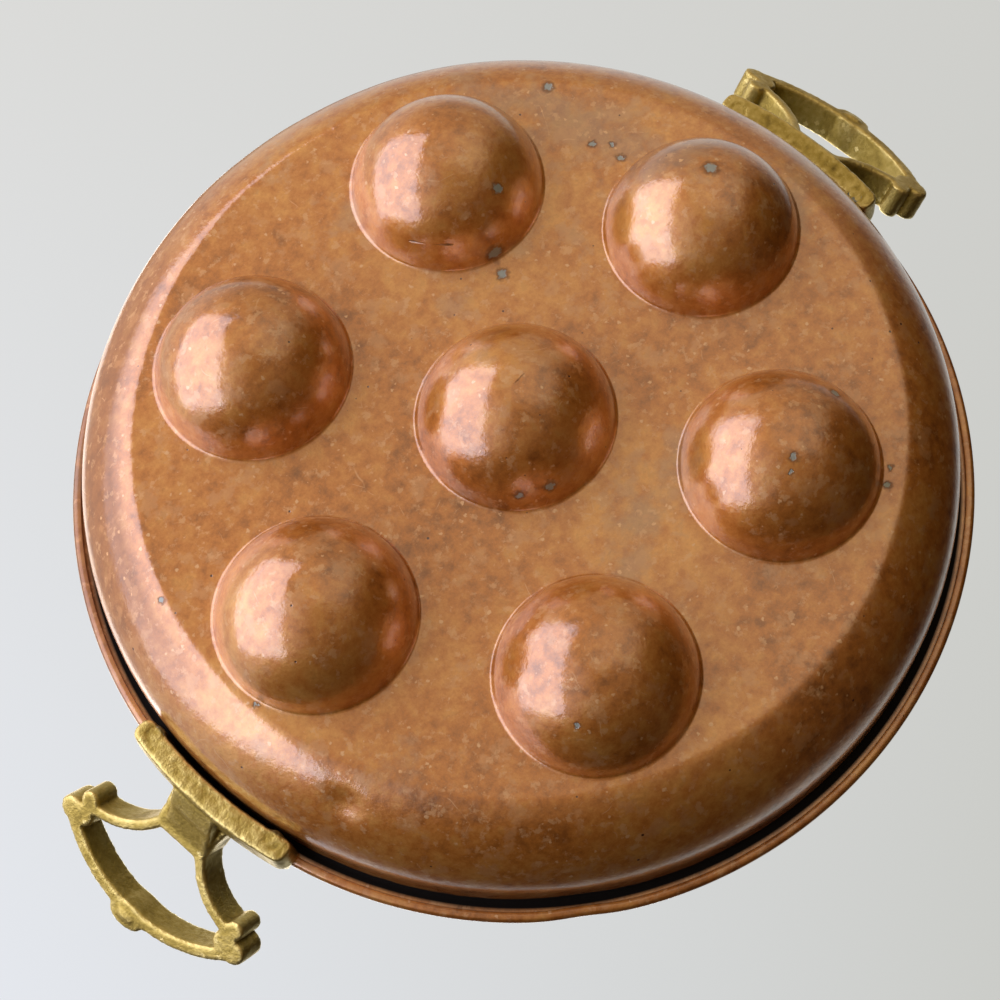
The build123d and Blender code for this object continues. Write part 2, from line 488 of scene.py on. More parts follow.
    def build_lining(self, work: SheetWork) -> Piece:
        """Build the tin lining: a thin skin over the inside and across the lip."""
        fold = self.lip_radius - self.copper
        skin = self.copper + self.lining
        under = self.wall(self.copper, fold, self.hidden_steps[0])
        over = list(reversed(self.wall(skin, fold, self.inner_steps[0])))
        bm = bmesh.new()
        first, last = self.spin(bm, under + over, self.around)
        self.close_face(bm, first, self.copper, self.hidden_steps[1], self.well_around // 2)
        self.close_face(bm, last, skin, self.inner_steps[1], self.well_around)
        self.place_points(bm, work)
        return finish_mesh("wiped_tin_lining", bm)


@dataclass
class CastHandle:
    """One cast brass handle, softened from the sharp form of its pattern.

    A spot on the loop is given across the handle, along it from the rim, and out of its near face.
    """

    grain: float = 0.45
    soften_steps: int = 16
    swell: float = 0.14
    sand_wave: float = 1.5
    sand_depth: float = 0.06
    bar_level: float = 45.7
    bar_top: float = 57.7
    bar_sand_wave: float = 1.6
    bar_sand_depth: float = 0.16
    loop_reach: float = 121.76
    loop_level: float = 56.0
    loop_slope: float = 41.0
    loop_shift: float = 1.5
    loop_lean: float = 0.08
    boss_spot: tuple[float, float] = (0.0, 43.5)
    boss_half: tuple[float, float, float] = (3.0, 1.7, 0.75)
    pip_spot: tuple[float, float] = (-5.4, 5.6)
    pip_half: tuple[float, float, float] = (2.1, 2.1, 0.6)
    plug_radius: float = 2.3
    plug_gap: float = 0.1
    plug_around: int = 48
    foot_radius: float = 2.1
    foot_mark: float = 0.12
    foot_mark_half: float = 0.6
    bulge_reach: float = 119.2
    bulge: float = 0.9
    bulge_fade: float = 3.0
    skin_margin: float = 1.0
    facing_down: float = -0.8

    def loop_axes(self, side: Side) -> tuple[Vector, Vector, Vector]:
        """Directions across the loop, along it and out of its near face."""
        slope = math.radians(self.loop_slope)
        along = Vector((math.cos(slope) * side.value, 0, math.sin(slope)))
        outward = Vector((math.sin(slope) * side.value, 0, -math.cos(slope)))
        return Vector((0, -1, 0)), along, outward

    def knob(self, side: Side, spot: tuple[float, float], half: tuple[float, float, float]) -> Matrix:
        """Placing of a low knob on the loop's near face.

        Args:
            side: Which handle.
            spot: Its middle across and along the loop.
            half: Half sizes across, along and out of the face.

        Returns:
            The matrix that turns a unit ball into the knob.
        """
        across, along, outward = self.loop_axes(side)
        middle = Vector((self.loop_reach * side.value, 0, self.loop_level))
        middle += across * (spot[0] + self.loop_shift + self.loop_lean * spot[1]) + along * spot[1]
        turned = Matrix((across * half[0], along * half[1], outward * half[2])).transposed()
        return Matrix.Translation(middle * MM) @ (turned * MM).to_4x4()

    def build(self, side: Side, rivet_spots: list[Vector]) -> Piece:
        """Build the casting on one side.

        Args:
            side: Which handle.
            rivet_spots: Where the rivets pass through its bar.

        Returns:
            The handle, in its place, with the rivet holes closed by the rivets' peened ends.
        """
        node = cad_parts[f"handle_{side.label}"]
        bm = bmesh.new()
        bm.from_mesh(node.data)
        bmesh.ops.remove_doubles(bm, verts=bm.verts, dist=MERGE_REACH)
        for spot, half in ((self.boss_spot, self.boss_half), (self.pip_spot, self.pip_half)):
            bmesh.ops.create_icosphere(bm, subdivisions=4, radius=1.0, matrix=self.knob(side, spot, half))
        own_spots = [spot for spot in rivet_spots if spot.x * side.value > 0]
        depth = self.bar_top - self.bar_level - self.plug_gap
        for spot in own_spots:
            middle = Vector((spot.x, spot.y, (self.bar_top + self.bar_level) / 2)) * MM
            bmesh.ops.create_cone(
                bm,
                cap_ends=True,
                segments=self.plug_around,
                radius1=self.plug_radius * MM,
                radius2=self.plug_radius * MM,
                depth=depth * MM,
                matrix=Matrix.Translation(middle),
            )
        piece = finish_mesh(f"cast_handle_{side.label}", bm)
        remesh = piece.modifiers.new("skin", "REMESH")
        remesh.mode = "VOXEL"
        remesh.voxel_size = self.grain * MM
        soften = piece.modifiers.new("soften", "SMOOTH")
        soften.factor = 0.5
        soften.iterations = self.soften_steps
        swell = piece.modifiers.new("swell", "DISPLACE")
        swell.strength = self.swell * MM
        swell.mid_level = 0.0
        settle(piece)
        self.roughen(piece, own_spots)
        return piece

    def roughen(self, piece: Piece, rivet_spots: list[Vector]) -> None:
        """Give the skin the sand mould's unevenness and the marks round the rivets' ends.

        Args:
            piece: The handle, changed in place.
            rivet_spots: Where its own rivets end, under its bar.
        """
        bm = bmesh.new()
        bm.from_mesh(piece.data)
        bites = []
        for vert in bm.verts:
            spot = vert.co / MM
            bite = noise.noise(spot / self.sand_wave) * self.sand_depth
            under_bar = vert.normal.z < self.facing_down and spot.z < self.bar_level + self.skin_margin
            if under_bar:
                bite += noise.noise(spot / self.bar_sand_wave) * self.bar_sand_depth
                bite += noise.noise(spot / (self.bar_sand_wave * 3)) * self.bar_sand_depth
                for place in rivet_spots:
                    off = abs((spot.xy - place.xy).length - self.foot_radius)
                    bite -= self.foot_mark * max(0.0, 1 - off / self.foot_mark_half)
            outside = min(1.0, max(0.0, (spot.xy.length - self.bulge_reach) / self.bulge_fade))
            low = min(1.0, max(0.0, (self.bar_top - self.skin_margin - spot.z) / self.bulge_fade))
            fat = spot.xy.normalized().to_3d() * self.bulge * outside * low
            bites.append((vert.normal * bite + fat) * MM)
        for vert, bite in zip(bm.verts, bites):
            vert.co += bite
        bm.to_mesh(piece.data)
        bm.free()
        piece.data.shade_smooth()


@dataclass
class Rivets:
    """Four rivets through the lip, each with a broad tinned head and a peened foot."""

    circle_radius: float = 118.06
    spacing: float = 41.0
    seat_level: float = 59.6
    foot_level: float = 45.7
    shank_radius: float = 1.6
    foot_radius: float = 2.1
    foot_height: float = 0.8
    head_radius: float = 4.5
    head_height: float = 1.4
    brim: float = 0.12
    foot_bevel: float = 0.2
    dome_steps: int = 9
    dimple_wave: float = 1.9
    dimple_depth: float = 0.16
    around: int = 28
    seed: int = 5
    least_size: float = 0.94

    def spots(self) -> list[Vector]:
        """Where the rivets stand on the lip, in millimetres."""
        half = math.asin(self.spacing / 2 / self.circle_radius)
        turns = [base + shift for base in (0.0, math.pi) for shift in (-half, half)]
        return [Vector((math.cos(t), math.sin(t), 0)) * self.circle_radius for t in turns]

    def pattern(self) -> Piece:
        """Build one rivet with the underside of its head at the origin."""
        dome = (self.head_radius**2 + self.head_height**2) / (2 * self.head_height)
        foot = self.foot_level - self.seat_level
        profile = [(self.foot_radius - self.foot_bevel, foot), (self.foot_radius, foot + self.foot_bevel)]
        profile += [(radius, foot + self.foot_height) for radius in (self.foot_radius, self.shank_radius)]
        profile += [(self.shank_radius, 0.0), (self.head_radius, 0.0)]
        for step in range(self.dome_steps):
            radius = self.head_radius * (1 - step / self.dome_steps)
            height = math.sqrt(dome**2 - radius**2) - (dome - self.head_height)
            profile.append((radius, height + self.brim))
        bm = bmesh.new()
        end, crown = PressedSheet.spin(bm, profile, self.around)
        bm.faces.new(end)
        top = bm.verts.new((0, 0, self.head_height + self.brim))
        for step, vert in enumerate(crown):
            bm.faces.new((vert, crown[(step + 1) % len(crown)], top))
        for vert in bm.verts:
            hammered = vert.co.z > self.brim / 2
            dimple = noise.noise(vert.co / self.dimple_wave) * self.dimple_depth if hammered else 0.0
            vert.co = (vert.co + Vector((0, 0, dimple))) * MM
        return finish_mesh("rivet_pattern", bm)

    def build(self, metal: bpy.types.Material) -> Piece:
        """Set the rivets in the lip by a node tree.

        Args:
            metal: The finish that the tree sets.

        Returns:
            The four rivets as one piece.
        """
        pattern = self.pattern()
        tree = bpy.data.node_groups.new("rivets_on_points", "GeometryNodeTree")
        face = tree.interface
        face.new_socket("Geometry", in_out="OUTPUT", socket_type="NodeSocketGeometry")
        face.new_socket("Geometry", in_out="INPUT", socket_type="NodeSocketGeometry")
        rivet_socket = face.new_socket("Rivet", in_out="INPUT", socket_type="NodeSocketObject")
        seed_socket = face.new_socket("Seed", in_out="INPUT", socket_type="NodeSocketInt")
        least_socket = face.new_socket("Least size", in_out="INPUT", socket_type="NodeSocketFloat")
        entry = add_node(tree, "NodeGroupInput")
        shape = add_node(tree, "GeometryNodeObjectInfo", inputs={"Object": entry.outputs["Rivet"]})
        turn = add_node(
            tree,
            "FunctionNodeRandomValue",
            {"data_type": "FLOAT_VECTOR"},
            {"Min": (0, 0, 0), "Max": (0, 0, 2 * math.pi), "Seed": entry.outputs["Seed"]},
        )
        size = add_node(
            tree,
            "FunctionNodeRandomValue",
            {"data_type": "FLOAT"},
            {2: entry.outputs["Least size"], 3: 1.0, "Seed": entry.outputs["Seed"]},
        )
        spread = add_node(
            tree,
            "GeometryNodeInstanceOnPoints",
            inputs={
                "Points": entry.outputs["Geometry"],
                "Instance": shape.outputs["Geometry"],
                "Rotation": turn.outputs["Value"],
                "Scale": size.outputs[1],
            },
        )
        solid = add_node(
            tree, "GeometryNodeRealizeInstances", inputs={"Geometry": spread.outputs["Instances"]}
        )
        dressed = add_node(
            tree,
            "GeometryNodeSetMaterial",
            inputs={"Geometry": solid.outputs["Geometry"], "Material": metal},
        )
        add_node(tree, "NodeGroupOutput", inputs={"Geometry": dressed.outputs["Geometry"]})
        seats = [(spot + Vector((0, 0, self.seat_level))) * MM for spot in self.spots()]
        mesh = bpy.data.meshes.new("tinned_rivets")
        mesh.from_pydata(seats, [], [])
        piece = bpy.data.objects.new("tinned_rivets", mesh)
        bpy.context.scene.collection.objects.link(piece)
        maker = piece.modifiers.new("rivets", "NODES")
        maker.node_group = tree
        maker[rivet_socket.identifier] = pattern
        maker[seed_socket.identifier] = self.seed
        maker[least_socket.identifier] = self.least_size
        settle(piece)
        bpy.data.objects.remove(pattern)
        return piece


@dataclass(frozen=True)
class Mark:
    """A corrosion spot on the copper, by its middle and radius in millimetres."""

    place: tuple[float, float, float]
    radius: float


@dataclass(frozen=True)
class AgedCopper:
    """Rolled and pressed copper, once polished and since browned by air and oven heat.

    A thin clear oxide film mirrors lamps as pale pink streaks over a satin brown ground, with
    light freckles where the film is thin and a few grey-green spots where damp sat on it.
    """

    brown: str = "#874E16"
    ground: str = "#C87E32"
    bright: str = "#E6A856"
    freckle: str = "#E8B984"
    water_mark: str = "#D6A06A"
    pit: str = "#4E2A12"
    haze: str = "#9A8A7C"
    # pinkish-grey painted sheen on the wall that faces the window lamp
    dulled: str = "#A0785C"
    ring: str = "#3C2A20"
    verdigris: str = "#A4ADA8"
    # near-black for the groove under the lip: grimy, with painted shade of the recess
    grime: str = "#0B0705"
    patch_mm: float = 38.0
    mottle_mm: float = 4.0
    mottle_share: float = 0.55
    freckle_mm: float = 1.9
    freckle_edge_mm: float = 0.9
    freckle_edge_shift_mm: float = 1.2
    water_mark_mm: float = 6.5
    fleck_mm: float = 3.1
    pit_mm: float = 4.2
    cloud_edge: float = 0.07
    haze_mm: float = 52.0
    scratch_mm: float = 34.0
    scratch_width_mm: float = 0.16
    scratch_bend_mm: float = 21.0
    scratch_bend_shift_mm: float = 20.0
    scratch_gap_mm: float = 9.0
    spot_edge_mm: float = 1.2
    spot_edge_shift_mm: float = 2.2
    # noise that makes the upper edge of the grimy, shaded groove ragged
    grime_wave_mm: float = 5.0
    grime_wave_lift_mm: float = 3.0
    ripple_mm: float = 2.6
    ripple_depth_mm: float = 0.1
    grain_mm: float = 0.8
    grain_depth_mm: float = 0.03
    freckle_lift_mm: float = 0.012
    pit_depth_mm: float = 0.03
    gouge_depth_mm: float = 0.25
    spot_depth_mm: float = 0.08
    tone_stops: tuple[float, float, float] = (0.33, 0.48, 0.63)
    metallic: float = 0.5
    film_ior: float = 2.1
    film_roughness: float = 0.12
    dull_roughness: float = 0.5
    bright_roughness: float = 0.36
    soiled_roughness: float = 0.9
    groove_level_mm: float = 55.4
    groove_fade_mm: tuple[float, float] = (0.6, 2.2)
    groove_reach_mm: float = 116.7
    groove_edge_mm: float = 0.8
    hem_line_mm: float = 120.1
    hem_line_half_mm: tuple[float, float] = (0.12, 0.3)
    hem_line_share: float = 0.35
    gouge_ends: tuple[tuple[float, float, float], ...] = ((17.5, -50.6, 12.7), (23.6, -41.1, 12.2))
    gouge_width_mm: float = 0.42
    # where the film is made dull and a sheen is painted: the wall that faces the window lamp
    rubbed_place: tuple[float, float, float] = (-74.0, -84.0, 34.0)
    rubbed_reach_mm: float = 95.0
    rubbed_share: float = 0.6
    wall_start_mm: tuple[float, float] = (21.3, 24.0)
    marks: tuple[Mark, ...] = (
        Mark((78.1, -55.8, 21.0), 1.5),
        Mark((72.3, -35.7, 21.0), 1.1),
        Mark((75.5, -31.5, 21.1), 0.9),
        Mark((74.0, -27.3, 21.1), 1.2),
        Mark((77.7, -0.9, 0.7), 2.0),
        Mark((40.9, -40.4, 5.9), 1.5),
        Mark((31.1, -33.5, 18.6), 2.3),
        Mark((28.6, -29.1, 20.9), 1.6),
        Mark((-9.8, 20.5, 14.1), 1.6),
        Mark((-16.3, 16.0, 14.9), 1.3),
        Mark((52.3, 59.4, 8.3), 1.4),
        Mark((30.0, 63.6, 0.4), 1.3),
        Mark((26.7, 65.4, 1.5), 0.7),
        Mark((50.5, 80.0, 21.0), 0.8),
        Mark((46.2, 82.2, 21.0), 1.1),
        Mark((-92.5, -35.4, 21.4), 1.0),
        Mark((-96.7, 0.8, 20.9), 0.9),
        Mark((-52.8, 66.2, 6.1), 0.9),
    )

    def tone(self, tree: Tree, place: Socket) -> tuple[Any, Any]:
        """Ground colour in soft patches, and the value that it follows."""
        patches = add_node(
            tree,
            "ShaderNodeTexNoise",
            inputs={"Vector": place, "Scale": 1 / (self.patch_mm * MM), "Detail": 4.0, "Roughness": 0.6},
        )
        mottle = add_node(
            tree,
            "ShaderNodeTexNoise",
            inputs={"Vector": place, "Scale": 1 / (self.mottle_mm * MM), "Detail": 6.0, "Roughness": 0.7},
        )
        blend = add_node(
            tree,
            "ShaderNodeMix",
            {"data_type": "FLOAT"},
            {0: self.mottle_share, 2: patches.outputs["Fac"], 3: mottle.outputs["Fac"]},
        )
        ramp = add_node(tree, "ShaderNodeValToRGB", inputs={"Fac": blend.outputs[0]})
        stops = ramp.color_ramp.elements
        stops[0].position, stops[0].color = self.tone_stops[0], linear(self.brown)
        stops[1].position, stops[1].color = self.tone_stops[2], linear(self.bright)
        middle = stops.new(self.tone_stops[1])
        middle.color = linear(self.ground)
        return ramp.outputs["Color"], blend.outputs[0]

    def dots(self, tree: Tree, place: Socket, pitch_mm: float, reach: float, share: float) -> Socket:
        """Mask of scattered dots.

        Args:
            tree: The material's tree.
            place: Coordinates in metres.
            pitch_mm: About how far apart they could lie.
            reach: Largest radius, as a share of the pitch.
            share: Share of the places that hold a dot.

        Returns:
            1 on the dots, 0 beside them.
        """
        cells = add_node(
            tree, "ShaderNodeTexVoronoi", inputs={"Vector": place, "Scale": 1 / (pitch_mm * MM)}
        )
        draw = add_node(tree, "ShaderNodeSeparateColor", inputs={"Color": cells.outputs["Color"]})
        kept = add_node(
            tree,
            "ShaderNodeMapRange",
            inputs={"Value": draw.outputs["Red"], "From Min": 1 - share, "From Max": 1.0, "To Max": reach},
        )
        edge = add_node(
            tree,
            "ShaderNodeMath",
            {"operation": "SUBTRACT"},
            {0: kept.outputs[0], 1: cells.outputs["Distance"]},
        )
        dot = add_node(
            tree,
            "ShaderNodeMapRange",
            inputs={"Value": edge.outputs[0], "From Min": 0.0, "From Max": reach / 3},
        )
        return dot.outputs[0]

    def clouds(
        self, tree: Tree, place: Socket, size_mm: float, low: float, amount: float
    ) -> Socket:
        """Mask of ragged clouds.

        Args:
            tree: The material's tree.
            place: Coordinates in metres.
            size_mm: About how large a cloud is.
            low: Noise value above which a cloud begins.
            amount: The mask's value inside a cloud.

        Returns:
            The amount inside the clouds, 0 beside them.
        """
        cloud = add_node(
            tree,
            "ShaderNodeTexNoise",
            inputs={"Vector": place, "Scale": 1 / (size_mm * MM), "Detail": 6.0, "Roughness": 0.62},
        )
        ragged = add_node(
            tree,
            "ShaderNodeMapRange",
            inputs={
                "Value": cloud.outputs["Fac"],
                "From Min": low,
                "From Max": low + self.cloud_edge,
                "To Max": amount,
            },
        )
        return ragged.outputs[0]

    def shifted(
        self, tree: Tree, place: Socket, wave_mm: float, shift_mm: float, detail: float
    ) -> Socket:
        """Coordinates shifted by noise, which makes an edge ragged or a line bend.

        Args:
            tree: The material's tree.
            place: Coordinates in metres.
            wave_mm: Size of the noise.
            shift_mm: Largest shift along each axis.
            detail: Octaves of the noise.

        Returns:
            The shifted coordinates.
        """
        wobble = add_node(
            tree,
            "ShaderNodeTexNoise",
            inputs={"Vector": place, "Scale": 1 / (wave_mm * MM), "Detail": detail},
        )
        moved = add_node(
            tree,
            "ShaderNodeVectorMath",
            {"operation": "MULTIPLY_ADD"},
            {0: wobble.outputs["Color"], 1: (shift_mm * MM,) * 3, 2: place},
        )
        return moved.outputs[0]

    def scratches(self, tree: Tree, place: Socket) -> Socket:
        """Mask of a few thin broken scratches along the edges of large warped cells."""
        bent = self.shifted(tree, place, self.scratch_bend_mm, self.scratch_bend_shift_mm, 2.0)
        cells = add_node(
            tree,
            "ShaderNodeTexVoronoi",
            {"feature": "DISTANCE_TO_EDGE"},
            {"Vector": bent, "Scale": 1 / (self.scratch_mm * MM)},
        )
        width = self.scratch_width_mm / self.scratch_mm
        line = add_node(
            tree,
            "ShaderNodeMapRange",
            inputs={"Value": cells.outputs["Distance"], "From Max": width, "To Min": 1.0, "To Max": 0.0},
        )
        broken = self.clouds(tree, place, self.scratch_gap_mm, 0.57, 0.75)
        both = add_node(tree, "ShaderNodeMath", {"operation": "MULTIPLY"}, {0: line.outputs[0], 1: broken})
        return both.outputs[0]

    def mark_group(self) -> Tree:
        """Node group of one corrosion spot: a pale middle inside a dark ring."""
        tree = bpy.data.node_groups.new("corrosion_spot", "ShaderNodeTree")
        face = tree.interface
        face.new_socket("Place", in_out="INPUT", socket_type="NodeSocketVector")
        face.new_socket("Middle", in_out="INPUT", socket_type="NodeSocketVector")
        face.new_socket("Radius", in_out="INPUT", socket_type="NodeSocketFloat")
        face.new_socket("Pale", in_out="OUTPUT", socket_type="NodeSocketFloat")
        face.new_socket("Dark", in_out="OUTPUT", socket_type="NodeSocketFloat")
        entry = add_node(tree, "NodeGroupInput")
        away = add_node(
            tree,
            "ShaderNodeVectorMath",
            {"operation": "DISTANCE"},
            {0: entry.outputs["Place"], 1: entry.outputs["Middle"]},
        )
        share = add_node(
            tree,
            "ShaderNodeMath",
            {"operation": "DIVIDE"},
            {0: away.outputs["Value"], 1: entry.outputs["Radius"]},
        )
        masks = {}
        for name, full, none, amount in (("Pale", 0.62, 0.86, 1.0), ("Dark", 0.95, 1.5, 0.5)):
            limits = {"From Min": full, "From Max": none, "To Min": amount, "To Max": 0.0}
            mask = add_node(tree, "ShaderNodeMapRange", inputs={"Value": share.outputs[0], **limits})
            masks[name] = mask.outputs[0]
        add_node(tree, "NodeGroupOutput", inputs=masks)
        return tree

    def corrosion(self, tree: Tree, place: Socket) -> list[Any]:
        """Masks of all the corrosion spots: their pale middles and their dark rings."""
        group = self.mark_group()
        ragged = self.shifted(tree, place, self.spot_edge_mm, self.spot_edge_shift_mm, 3.0)
        middle_shift = (self.spot_edge_shift_mm * MM / 2,) * 3
        level = add_node(
            tree, "ShaderNodeVectorMath", {"operation": "SUBTRACT"}, {0: ragged, 1: middle_shift}
        )
        masks: list[Any] = [0.0, 0.0]
        for mark in self.marks:
            spot = add_node(
                tree,
                "ShaderNodeGroup",
                {"node_tree": group},
                {
                    "Place": level.outputs[0],
                    "Middle": [part * MM for part in mark.place],
                    "Radius": mark.radius * MM,
                },
            )
            for number, name in enumerate(("Pale", "Dark")):
                joined = add_node(
                    tree,
                    "ShaderNodeMath",
                    {"operation": "MAXIMUM"},
                    {0: masks[number], 1: spot.outputs[name]},
                )
                masks[number] = joined.outputs[0]
        return masks

    def gouge(self, tree: Tree, place: Socket) -> Socket:
        """Mask of the one deep scratch, from its dark middle at 1 to its edge at 0."""
        first, last = (Vector(end) * MM for end in self.gouge_ends)
        along = last - first
        apart = add_node(
            tree, "ShaderNodeVectorMath", {"operation": "SUBTRACT"}, {0: place, 1: first[:]}
        )
        shade = add_node(
            tree,
            "ShaderNodeVectorMath",
            {"operation": "DOT_PRODUCT"},
            {0: apart.outputs[0], 1: (along / along.length_squared)[:]},
        )
        share = add_node(tree, "ShaderNodeClamp", inputs={"Value": shade.outputs["Value"]})
        nearest = add_node(
            tree, "ShaderNodeVectorMath", {"operation": "SCALE"}, {0: along[:], "Scale": share.outputs[0]}
        )
        away = add_node(
            tree,
            "ShaderNodeVectorMath",
            {"operation": "DISTANCE"},
            {0: apart.outputs[0], 1: nearest.outputs[0]},
        )
        limits = {"From Max": self.gouge_width_mm * MM, "To Min": 1.0, "To Max": 0.0}
        cut = add_node(tree, "ShaderNodeMapRange", inputs={"Value": away.outputs["Value"], **limits})
        return cut.outputs[0]

    def dirt(self, tree: Tree, place: Socket) -> Socket:
        """Mask of the black groove under the lip, grimy and with painted shade of that recess, and of a
        darker line along the edge of its hem.
        """
        flat = add_node(
            tree, "ShaderNodeVectorMath", {"operation": "MULTIPLY"}, {0: place, 1: (1.0, 1.0, 0.0)}
        )
        reach = add_node(tree, "ShaderNodeVectorMath", {"operation": "LENGTH"}, {0: flat.outputs[0]})
        level = add_node(tree, "ShaderNodeSeparateXYZ", inputs={0: place})
        wave = add_node(
            tree,
            "ShaderNodeTexNoise",
            inputs={"Vector": place, "Scale": 1 / (self.grime_wave_mm * MM), "Detail": 4.0},
        )
        lifted = add_node(
            tree,
            "ShaderNodeMath",
            {"operation": "MULTIPLY_ADD"},
            {0: wave.outputs["Fac"], 1: self.grime_wave_lift_mm * MM, 2: level.outputs["Z"]},
        )
        high = add_node(
            tree,
            "ShaderNodeMapRange",
            inputs={
                "Value": lifted.outputs[0],
                "From Min": (self.groove_level_mm + self.groove_fade_mm[0]) * MM,
                "From Max": (self.groove_level_mm + self.groove_fade_mm[1]) * MM,
            },
        )
        within = add_node(
            tree,
            "ShaderNodeMapRange",
            inputs={
                "Value": reach.outputs["Value"],
                "From Min": self.groove_reach_mm * MM,
                "From Max": (self.groove_reach_mm + self.groove_edge_mm) * MM,
                "To Min": 1.0,
                "To Max": 0.0,
            },
        )
        groove = add_node(
            tree, "ShaderNodeMath", {"operation": "MULTIPLY"}, {0: high.outputs[0], 1: within.outputs[0]}
        )
        beside = add_node(
            tree,
            "ShaderNodeMath",
            {"operation": "SUBTRACT"},
            {0: reach.outputs["Value"], 1: self.hem_line_mm * MM},
        )
        off = add_node(tree, "ShaderNodeMath", {"operation": "ABSOLUTE"}, {0: beside.outputs[0]})
        line = add_node(
            tree,
            "ShaderNodeMapRange",
            inputs={
                "Value": off.outputs[0],
                "From Min": self.hem_line_half_mm[0] * MM,
                "From Max": self.hem_line_half_mm[1] * MM,
                "To Min": self.hem_line_share,
                "To Max": 0.0,
            },
        )
        edge = add_node(
            tree, "ShaderNodeMath", {"operation": "MULTIPLY"}, {0: high.outputs[0], 1: line.outputs[0]}
        )
        both = add_node(
            tree, "ShaderNodeMath", {"operation": "MAXIMUM"}, {0: groove.outputs[0], 1: edge.outputs[0]}
        )
        return both.outputs[0]

    def rubbed(self, tree: Tree, place: Socket) -> Socket:
        """Mask of the wall that faces the window lamp, where the film is made dull and a pinkish-grey sheen
        is painted into the colour.
        """
        away = add_node(
            tree,
            "ShaderNodeVectorMath",
            {"operation": "DISTANCE"},
            {0: place, 1: [part * MM for part in self.rubbed_place]},
        )
        near = add_node(
            tree,
            "ShaderNodeMapRange",
            {"interpolation_type": "SMOOTHSTEP"},
            {
                "Value": away.outputs["Value"],
                "From Min": self.rubbed_reach_mm * MM / 3,
                "From Max": self.rubbed_reach_mm * MM,
                "To Min": self.rubbed_share,
                "To Max": 0.0,
            },
        )
        level = add_node(tree, "ShaderNodeSeparateXYZ", inputs={0: place})
        on_wall = add_node(
            tree,
            "ShaderNodeMapRange",
            inputs={
                "Value": level.outputs["Z"],
                "From Min": self.wall_start_mm[0] * MM,
                "From Max": self.wall_start_mm[1] * MM,
            },
        )
        both = add_node(
            tree, "ShaderNodeMath", {"operation": "MULTIPLY"}, {0: near.outputs[0], 1: on_wall.outputs[0]}
        )
        return both.outputs[0]

    def material(self) -> bpy.types.Material:
        """Build the copper finish."""
        made = bpy.data.materials.new("aged_copper")
        made.use_nodes = True
        tree = made.node_tree
        shader = tree.nodes["Principled BSDF"]
        shader.inputs["Metallic"].default_value = self.metallic
        shader.inputs["Coat IOR"].default_value = self.film_ior
        shader.inputs["Coat Roughness"].default_value = self.film_roughness
        place = add_node(tree, "ShaderNodeTexCoord").outputs["Object"]
        colour, value = self.tone(tree, place)
        pale, dark = self.corrosion(tree, place)
        cut = self.gouge(tree, place)
        dirt = self.dirt(tree, place)
        ragged = self.shifted(tree, place, self.freckle_edge_mm, self.freckle_edge_shift_mm, 2.0)
        freckles = self.dots(tree, ragged, self.freckle_mm, 0.34, 0.22)
        pits = self.dots(tree, place, self.pit_mm, 0.1, 0.5)
        rubbed = self.rubbed(tree, place)
        layers = (
            (self.clouds(tree, place, self.haze_mm, 0.6, 0.45), self.haze),
            # painted sheen on the wall that faces the window lamp
            (rubbed, self.dulled),
            (self.clouds(tree, place, self.water_mark_mm, 0.55, 0.5), self.water_mark),
            (self.clouds(tree, ragged, self.fleck_mm, 0.57, 0.5), self.freckle),
            (self.clouds(tree, place, self.fleck_mm * 1.3, 0.6, 0.15), self.brown),
            (freckles, self.freckle),
            (pits, self.pit),
            (self.scratches(tree, place), self.freckle),
            (cut, self.pit),
            (dark, self.ring),
            (pale, self.verdigris),
            # the groove under the lip: grimy, with painted shade
            (dirt, self.grime),
        )
        for amount, shade in layers:
            colour = add_node(
                tree, "ShaderNodeMix", {"data_type": "RGBA"}, {0: amount, 6: colour, 7: linear(shade)}
            ).outputs[2]
        tree.links.new(colour, shader.inputs["Base Color"])
        rough = add_node(
            tree,
            "ShaderNodeMapRange",
            inputs={
                "Value": value,
                "From Min": 0.35,
                "From Max": 0.65,
                "To Min": self.dull_roughness,
                "To Max": self.bright_roughness,
            },
        )
        groove_and_ring_marks = add_node(tree, "ShaderNodeMath", {"operation": "MAXIMUM"}, {0: dirt, 1: dark})
        dull = add_node(tree, "ShaderNodeMath", {"operation": "MAXIMUM"}, {0: groove_and_ring_marks.outputs[0], 1: rubbed})
        film = add_node(tree, "ShaderNodeMath", {"operation": "SUBTRACT"}, {0: 1.0, 1: dull.outputs[0]})
        tree.links.new(film.outputs[0], shader.inputs["Coat Weight"])
        worn = add_node(
            tree,
            "ShaderNodeMix",
            {"data_type": "FLOAT"},
            {0: film.outputs[0], 2: self.soiled_roughness, 3: rough.outputs[0]},
        )
        tree.links.new(worn.outputs[0], shader.inputs["Roughness"])
        ripple = add_node(
            tree,
            "ShaderNodeTexNoise",
            inputs={
                "Vector": place,
                "Scale": 1 / (self.ripple_mm * MM),
                "Detail": 5.0,
                "Roughness": 0.55,
            },
        )
        grain = add_node(
            tree,
            "ShaderNodeTexNoise",
            inputs={"Vector": place, "Scale": 1 / (self.grain_mm * MM), "Detail": 3.0},
        )
        heights = (
            (ripple.outputs["Fac"], self.ripple_depth_mm),
            (grain.outputs["Fac"], self.grain_depth_mm),
            (freckles, self.freckle_lift_mm),
            (pits, -self.pit_depth_mm),
            (cut, -self.gouge_depth_mm),
            (pale, -self.spot_depth_mm),
        )
        normal = None
        for height, depth_mm in heights:
            bump = add_node(
                tree,
                "ShaderNodeBump",
                {"invert": depth_mm < 0},
                {"Distance": abs(depth_mm) * MM, "Height": height},
            )
            if normal:
                tree.links.new(normal, bump.inputs["Normal"])
            normal = bump.outputs["Normal"]
        tree.links.new(normal, shader.inputs["Normal"])
        tree.links.new(normal, shader.inputs["Coat Normal"])
        return made


